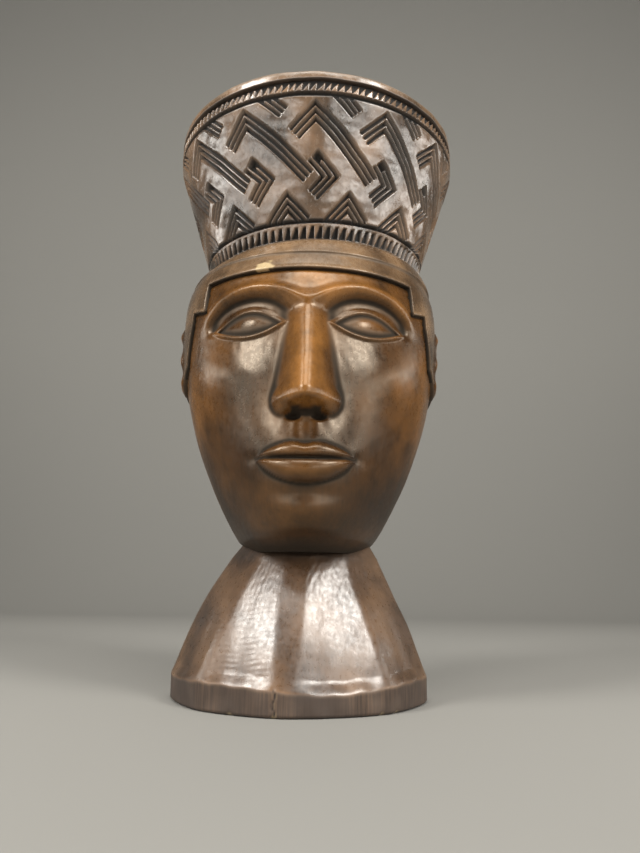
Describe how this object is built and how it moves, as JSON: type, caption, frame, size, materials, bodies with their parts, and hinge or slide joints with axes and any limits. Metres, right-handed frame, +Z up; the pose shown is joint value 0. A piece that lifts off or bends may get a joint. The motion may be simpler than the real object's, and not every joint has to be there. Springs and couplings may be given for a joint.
{
  "type": "figural drinking cup",
  "caption": "Carved wooden drinking cup: a human head on a flared foot, its flared hat open at the top as the bowl and cut with interlaced chevrons between notched bands.",
  "frame": {"origin": "middle of the flat underside of the foot", "axes": "+Z up along the cup's axis, the face looks along -Y, the figure's left side is +X"},
  "size_m": [0.125, 0.1337, 0.24],
  "materials": {
    "foot_wood": "dark brown oiled hardwood, satin, adze facets",
    "face_wood": "red-brown hardwood polished by handling",
    "hat_wood": "grey-brown polished hardwood with dark grooves"
  },
  "bodies": {
    "root": {"foot_edge": "foot_wood", "foot_flank": "foot_wood", "head": "face_wood", "nose": "face_wood", "upper_lip": "face_wood", "lower_lip": "face_wood", "left_eye": "face_wood", "right_eye": "face_wood", "left_ear": "face_wood", "right_ear": "face_wood", "hair_cap": "hat_wood", "lower_notched_band": "hat_wood", "hat_wall": "hat_wood", "upper_notched_band": "hat_wood", "rim_lip": "hat_wood"}
  },
  "joints": []
}
